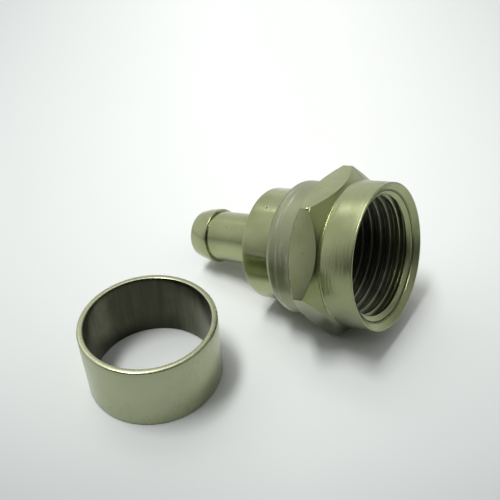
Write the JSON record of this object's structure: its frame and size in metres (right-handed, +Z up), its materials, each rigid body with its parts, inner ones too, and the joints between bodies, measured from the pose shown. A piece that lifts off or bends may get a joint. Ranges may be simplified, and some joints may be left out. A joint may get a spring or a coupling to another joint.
{
  "type": "crimp-on coaxial connector",
  "caption": "Crimp-on F-type coaxial plug with a spinning hexagonal coupling nut, a barbed tail and its loose crimp ring standing beside it.",
  "frame": {"origin": "middle of the footprint of the connector and its ring, on the table", "axes": "+Z up; the plug's mouth faces +X, tilted up, as it lies on the table; the ring stands beside the tail, towards -Y"},
  "size_m": [0.0184, 0.0242, 0.0119],
  "materials": {
    "body_metal": "turned, nickel plated, semi-gloss",
    "nut_metal": "turned, nickel plated, semi-gloss",
    "ring_metal": "drawn tube, nickel plated, satin"
  },
  "bodies": {
    "connector_body": {"barbed_body": "body_metal", "crimp_ring": "ring_metal"},
    "nut": {"coupling_nut": "nut_metal"}
  },
  "joints": [
    {"name": "nut_spin", "type": "hinge", "parent": "connector_body", "child": "nut", "pos_m": [0.00433, 0.0057, 0.00576], "axis": [0.9694, 0, 0.2456], "continuous": true}
  ]
}
